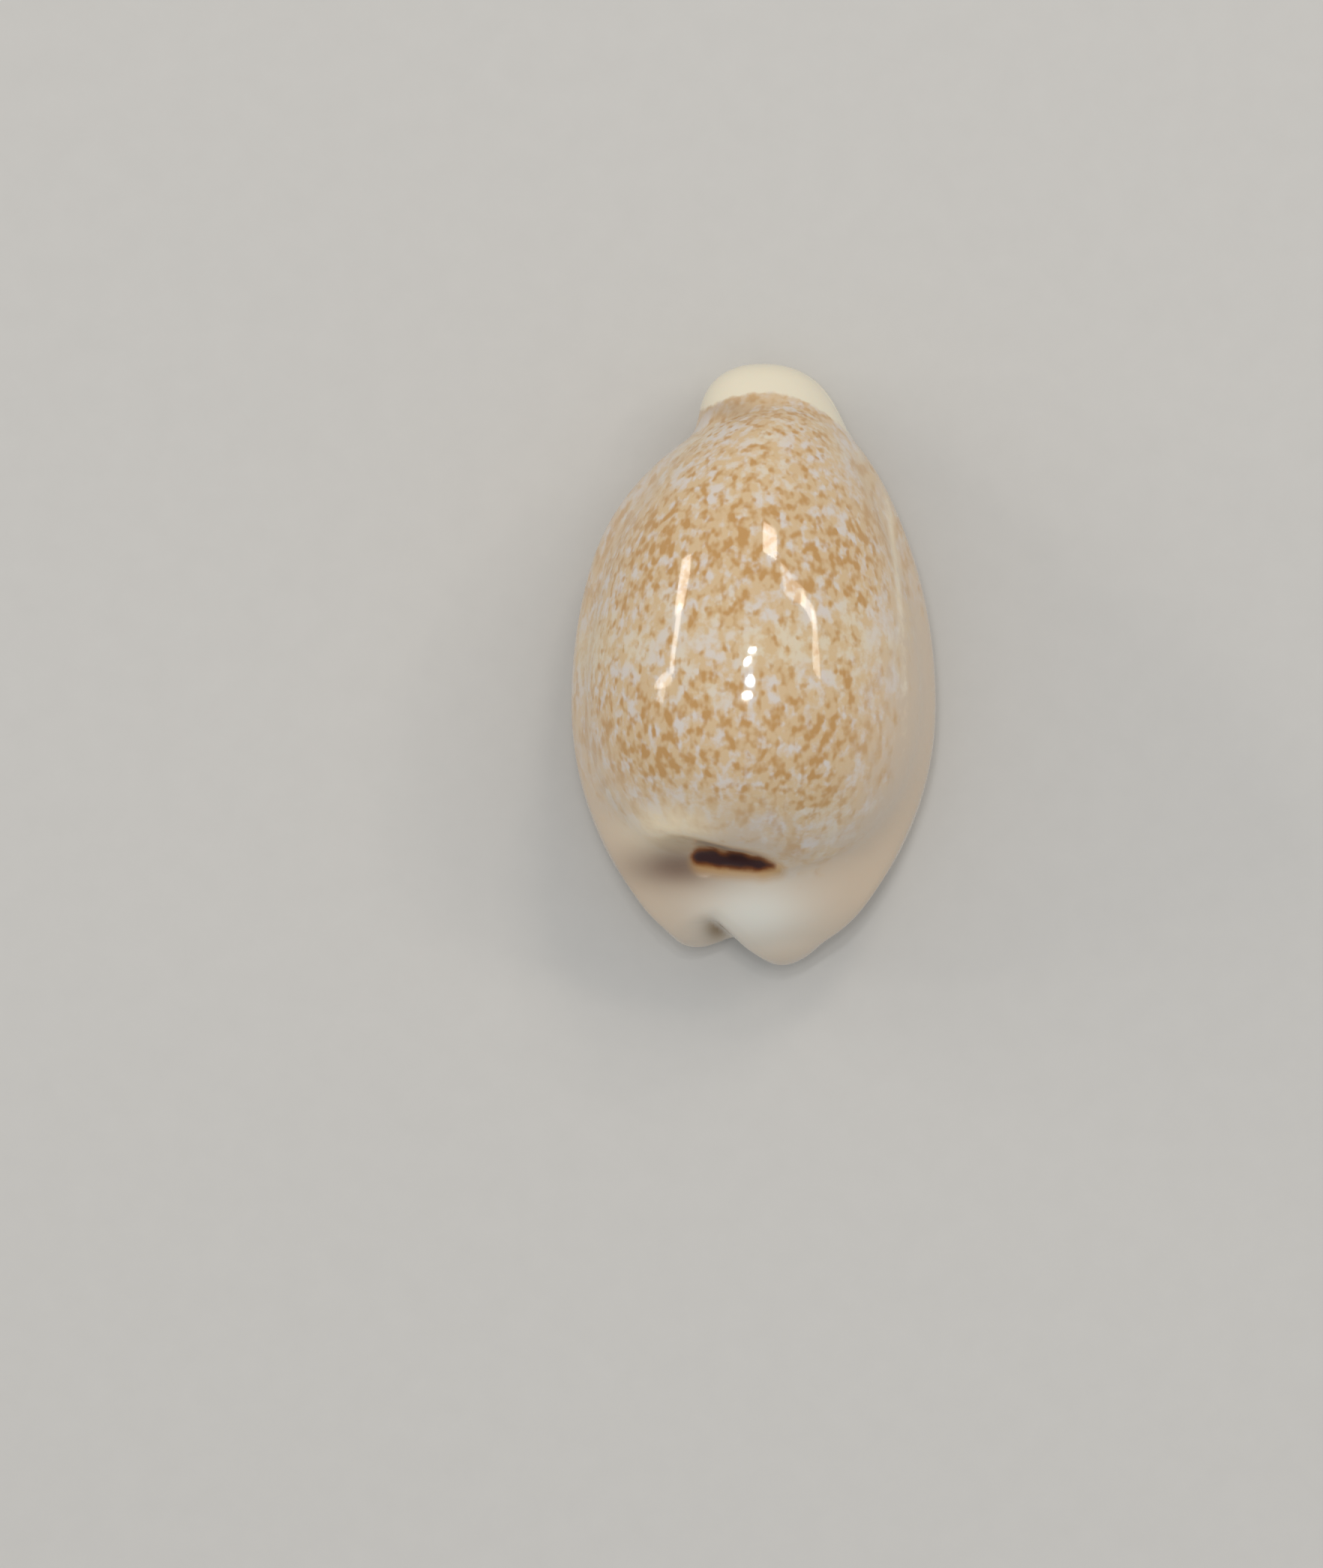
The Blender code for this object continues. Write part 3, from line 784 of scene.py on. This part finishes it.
class Paint:
    """Adds nodes to a material. Each method gives back the new node's output."""

    def __init__(self, name):
        self.material = bpy.data.materials.new(name)
        self.material.use_nodes = True
        self.tree = self.material.node_tree
        self.surface = self.tree.nodes["Principled BSDF"]

    def node(self, kind, inputs, output=0, **settings):
        made = self.tree.nodes.new(kind)
        for name, value in settings.items():
            setattr(made, name, value)
        for name, value in inputs.items():
            self.feed(made.inputs[name], value)
        return made.outputs[output]

    def feed(self, socket, value):
        if isinstance(value, bpy.types.NodeSocket):
            self.tree.links.new(value, socket)
        else:
            socket.default_value = value

    def math(self, operation, first, second=0.0):
        return self.node("ShaderNodeMath", {0: first, 1: second}, operation=operation)

    def attribute(self, name):
        return self.node("ShaderNodeAttribute", {}, "Fac", attribute_name=name)

    def place(self, stretch=(1.0, 1.0, 1.0), shift=(0.0, 0.0, 0.0)):
        """Place on the shell in millimetres, stretched for marks that run one way."""
        spot = self.node("ShaderNodeTexCoord", {}, "Object")
        scale = tuple(s / MM for s in stretch)
        return self.node("ShaderNodeMapping", {"Vector": spot, "Scale": scale, "Location": shift})

    def noise(self, place, per_mm, detail=2.0, rough=0.5):
        inputs = {"Vector": place, "Scale": per_mm, "Detail": detail, "Roughness": rough}
        return self.node("ShaderNodeTexNoise", inputs, "Fac")

    def swing(self, noise, share):
        """A noise made to swing round zero, by half the share each way."""
        return self.math("MULTIPLY", self.math("SUBTRACT", noise, 0.5), share)

    def step(self, value, low, high, to_low=0.0, to_high=1.0):
        """Soft step from one value to another as the input goes from low to high."""
        inputs = {"Value": value, "From Min": low, "From Max": high, "To Min": to_low, "To Max": to_high}
        return self.node("ShaderNodeMapRange", inputs, interpolation_type="SMOOTHSTEP")

    def mix(self, share, first, second):
        inputs = {0: share, 6: first, 7: second}
        return self.node("ShaderNodeMix", inputs, 2, data_type="RGBA")

    def blend(self, share, first, second):
        return self.node("ShaderNodeMix", {0: share, 2: first, 3: second}, 0)

    def layer(self, colour, top_colour, share, strength=1.0):
        """The colour with another laid over it, where its share says so."""
        if strength != 1.0:
            share = self.math("MULTIPLY", share, strength)
        return self.mix(share, colour, srgb(top_colour))

    def bump(self, height, distance):
        return self.node("ShaderNodeBump", {"Height": height, "Distance": distance, "Strength": 1.0})


def freckle_noise(paint, flank, per_mm, stretch, shift, detail):
    """Noise that is round on the back and drawn out along the flanks."""
    back = paint.noise(paint.place(stretch[0], shift[0]), per_mm[0], detail)
    side = paint.noise(paint.place(stretch[1], shift[1]), per_mm[1], detail)
    return paint.blend(flank, back, side)


def spotted_coat(paint):
    """Brown freckles that run together over a pale ground. Gives the colour."""
    flank = paint.step(paint.attribute("coat"), *FLANK_DEPTHS)
    clouds = paint.noise(paint.place(shift=CLOUD_SHIFT), CLOUDS_PER_MM)
    bands = paint.attribute("bands")
    dense = paint.math("ADD", paint.math("MULTIPLY", bands, BAND_SHARE), paint.swing(clouds, CLOUD_SHARE))
    grain = paint.noise(paint.place(shift=GRAIN_SHIFT), GRAIN_PER_MM, detail=1.0)

    veil = freckle_noise(paint, flank, VEIL_PER_MM, VEIL_STRETCH, VEIL_SHIFT, detail=1.5)
    veil = paint.math("ADD", paint.math("ADD", veil, dense), paint.swing(grain, GRAIN_SHARE))
    veil_share = paint.step(veil, *VEIL_STEP, 0.0, paint.blend(flank, *VEIL_STRENGTH))

    spots = freckle_noise(paint, flank, SPOTS_PER_MM, SPOT_STRETCH, SPOT_SHIFT, detail=1.0)
    spots = paint.math("ADD", paint.math("ADD", spots, dense), paint.swing(veil, SPOTS_WITH_VEIL))
    spot_share = paint.step(spots, *SPOT_STEP, 0.0, paint.blend(flank, *SPOT_STRENGTH))

    creamy = paint.math("SUBTRACT", paint.step(clouds, *CLOUD_STEP), bands)
    colour = paint.mix(paint.step(creamy, *CREAM_STEP), srgb(GAP_COLOUR), srgb(CREAM_COLOUR))
    colour = paint.layer(colour, VEIL_COLOUR, veil_share)
    colour = paint.layer(colour, SPOT_COLOUR, spot_share)
    # Painted highlight: the pale line along the outer flank, laid over the freckles
    return paint.layer(colour, FLANK_HIGHLIGHT_COLOUR, paint.attribute("line"), FLANK_HIGHLIGHT_STRENGTH)


def porcelain_colour(paint):
    """The whole shell's colour, layer over layer, and how near the dark spire is."""
    ragged = paint.noise(paint.place(), RAGGED_PER_MM, rough=0.6)
    coat = paint.math("ADD", paint.attribute("coat"), paint.swing(ragged, COAT_RAGGED))
    cap = paint.math("ADD", paint.attribute("cap"), paint.swing(ragged, CAP_RAGGED))
    spire = paint.math("ADD", paint.attribute("spire"), paint.swing(ragged, SPIRE_RAGGED))
    glow = paint.step(paint.attribute("glow"), *GLOW_BORDER, 0.0, GLOW_STRENGTH)

    colour = paint.mix(paint.attribute("base"), srgb(MARGIN_COLOUR), srgb(BASE_COLOUR))
    colour = paint.layer(colour, CALLUS_COLOUR, paint.attribute("callus"))
    # Painted light on the ridge in front of the spire, laid under the coat and again over it
    colour = paint.layer(colour, RIDGE_LIGHT_COLOUR, paint.attribute("ridge_light"))
    colour = paint.mix(paint.step(coat, *COAT_BORDER), colour, spotted_coat(paint))
    colour = paint.layer(colour, RIDGE_LIGHT_COLOUR, paint.attribute("ridge_light"), RIDGE_LIGHT_STRENGTH)
    # Painted shade in the valley behind the cap
    colour = paint.layer(colour, VALLEY_SHADE_COLOUR, paint.attribute("valley_shade"), VALLEY_SHADE_STRENGTH)
    colour = paint.layer(colour, CAP_COLOUR, paint.step(cap, *CAP_BORDER))
    colour = paint.layer(colour, SHADE_COLOUR, paint.attribute("shade"), SHADE_STRENGTH)
    colour = paint.layer(colour, GLOW_COLOUR, glow)
    colour = paint.layer(colour, RUST_COLOUR, paint.step(spire, *RUST_BORDER))
    colour = paint.layer(colour, SPIRE_COLOUR, paint.step(spire, *SPIRE_BORDER))
    colour = paint.layer(colour, INSIDE_COLOUR, paint.attribute("inside"))
    # Painted shade in the notch
    colour = paint.layer(colour, NOTCH_SHADE_COLOUR, paint.attribute("canal"), CANAL_SHADE_STRENGTH)
    return colour, glow


def porcelain():
    paint = Paint("porcelain_surface")
    inputs = paint.surface.inputs
    colour, glow = porcelain_colour(paint)
    paint.feed(inputs["Base Color"], colour)

    worn = paint.noise(paint.place(), WEAR_PER_MM, detail=4.0, rough=0.6)
    rough = paint.step(worn, *WEAR_STEP, *ROUGHNESS)
    paint.feed(inputs["Roughness"], paint.blend(glow, rough, SPIRE_ROUGHNESS))
    # The floor doesn't shine back from the dark places.
    dull = paint.math("MAXIMUM", glow, paint.attribute("shade"))
    dull = paint.math("MAXIMUM", dull, paint.attribute("canal"))
    paint.feed(inputs["Specular IOR Level"], paint.blend(dull, *SHEEN))

    waves = paint.noise(paint.place(), WAVES_PER_MM, detail=0.0)
    ripples = paint.noise(paint.place(), RIPPLES_PER_MM, detail=1.0)
    height = paint.math("ADD", waves, paint.math("MULTIPLY", ripples, RIPPLE_SHARE))
    paint.feed(inputs["Normal"], paint.bump(height, WAVE_HEIGHT * MM))

    inputs["IOR"].default_value = SHELL_IOR
    inputs["Subsurface Weight"].default_value = SCATTER_SHARE
    inputs["Subsurface Radius"].default_value = SCATTER_BY_COLOUR
    inputs["Subsurface Scale"].default_value = SCATTER_DEPTH * MM
    return paint.material


def floor_material():
    paint = Paint("pale_card")
    grain = paint.noise(paint.place(), FLOOR_GRAIN_PER_MM, detail=4.0, rough=0.6)
    light = srgb(FLOOR_COLOUR)
    dark = srgb(tuple(c - FLOOR_GRAIN_DEPTH for c in FLOOR_COLOUR))
    paint.feed(paint.surface.inputs["Base Color"], paint.mix(grain, light, dark))
    paint.surface.inputs["Roughness"].default_value = FLOOR_ROUGHNESS
    return paint.material


def floor():
    mesh = bpy.data.meshes.new("floor")
    corners = [(sx * FLOOR_HALF, sy * FLOOR_HALF, 0.0) for sx, sy in ((-1, -1), (1, -1), (1, 1), (-1, 1))]
    mesh.from_pydata(corners, [], [(0, 1, 2, 3)])
    made = bpy.data.objects.new("floor", mesh)
    bpy.context.scene.collection.objects.link(made)
    mesh.materials.append(floor_material())
    return made


def camera():
    data = bpy.data.cameras.new("camera")
    data.sensor_fit = "VERTICAL"
    data.sensor_height = SENSOR_HEIGHT
    outline_z = MARGIN_Z * MM
    data.lens = SENSOR_HEIGHT * (CAMERA_HEIGHT - outline_z) / (FRAME_HEIGHT * MM)
    data.clip_start, data.clip_end = CAMERA_CLIP
    made = bpy.data.objects.new("camera", data)
    made.location = (FRAME_MIDDLE[0] * MM, FRAME_MIDDLE[1] * MM, CAMERA_HEIGHT)
    bpy.context.scene.collection.objects.link(made)
    bpy.context.scene.camera = made
    return made


def lamp_place(x, y):
    """Where a lamp stands that the camera sees reflected in the shell's back over a point."""
    heights = np.arange(HEIGHT + SLOPE_STEP, 0.0, -SLOPE_STEP)
    inside = shell_field(np.full_like(heights, x), np.full_like(heights, y), heights) < 0
    spot = np.array([[x, y, heights[np.argmax(inside)]]])
    normal = Vector(field_slope(spot)[0]).normalized()
    spot = Vector(spot[0]) * MM
    eye = (Vector((FRAME_MIDDLE[0] * MM, FRAME_MIDDLE[1] * MM, CAMERA_HEIGHT)) - spot).normalized()
    return spot + (2 * normal.dot(eye) * normal - eye) * LAMP_DISTANCE


def lamp(name, shape, start, end, width, brightness, colour):
    """An area lamp whose reflection runs from start to end on the shell's back and is that wide."""
    middle = (Vector(start) + Vector(end)) / 2
    side = (Vector(end) - Vector(start)).orthogonal().normalized() * width / 2
    first, last = lamp_place(*start), lamp_place(*end)
    left, right = lamp_place(*(middle - side)), lamp_place(*(middle + side))
    place = lamp_place(*middle)
    along = (last - first).normalized()
    back = (place - along * place.dot(along)).normalized()
    across = back.cross(along)
    data = bpy.data.lights.new(name, "AREA")
    data.shape = shape
    data.size = (last - first).length
    data.size_y = abs((right - left).dot(across))
    area = data.size * data.size_y * (math.pi / 4 if shape == "ELLIPSE" else 1.0)
    data.energy = brightness * math.pi * area
    data.color = colour
    made = bpy.data.objects.new(name, data)
    turned = Matrix((along, across, back)).transposed().to_4x4()
    turned.translation = place
    made.matrix_world = turned
    bpy.context.scene.collection.objects.link(made)
    return made


def lamps():
    for number, (x, y) in enumerate(DISC_HIGHLIGHTS):
        ends = ((x, y - DISC_RADIUS), (x, y + DISC_RADIUS))
        lamp(f"disc_{number}", "ELLIPSE", *ends, 2 * DISC_RADIUS, DISC_BRIGHTNESS, DISC_COLOUR)
    x, y = BLOB_HIGHLIGHT
    ends = ((x, y - BLOB_RADIUS), (x, y + BLOB_RADIUS))
    lamp("blob", "ELLIPSE", *ends, 2 * BLOB_RADIUS, BLOB_BRIGHTNESS, STRIP_COLOUR)
    for number, (start, end, width, brightness) in enumerate(STRIP_HIGHLIGHTS):
        lamp(f"strip_{number}", "RECTANGLE", start, end, width, brightness, STRIP_COLOUR)


def world():
    made = bpy.data.worlds.new("studio")
    made.use_nodes = True
    background = made.node_tree.nodes["Background"]
    background.inputs["Color"].default_value = (*WORLD_COLOUR, 1.0)
    background.inputs["Strength"].default_value = WORLD_STRENGTH
    bpy.context.scene.world = made


bpy.context.scene.view_settings.view_transform = "Standard"
camera()
shell = shell_surface()
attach(shell, "root")
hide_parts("shell")
floor()
world()
lamps()
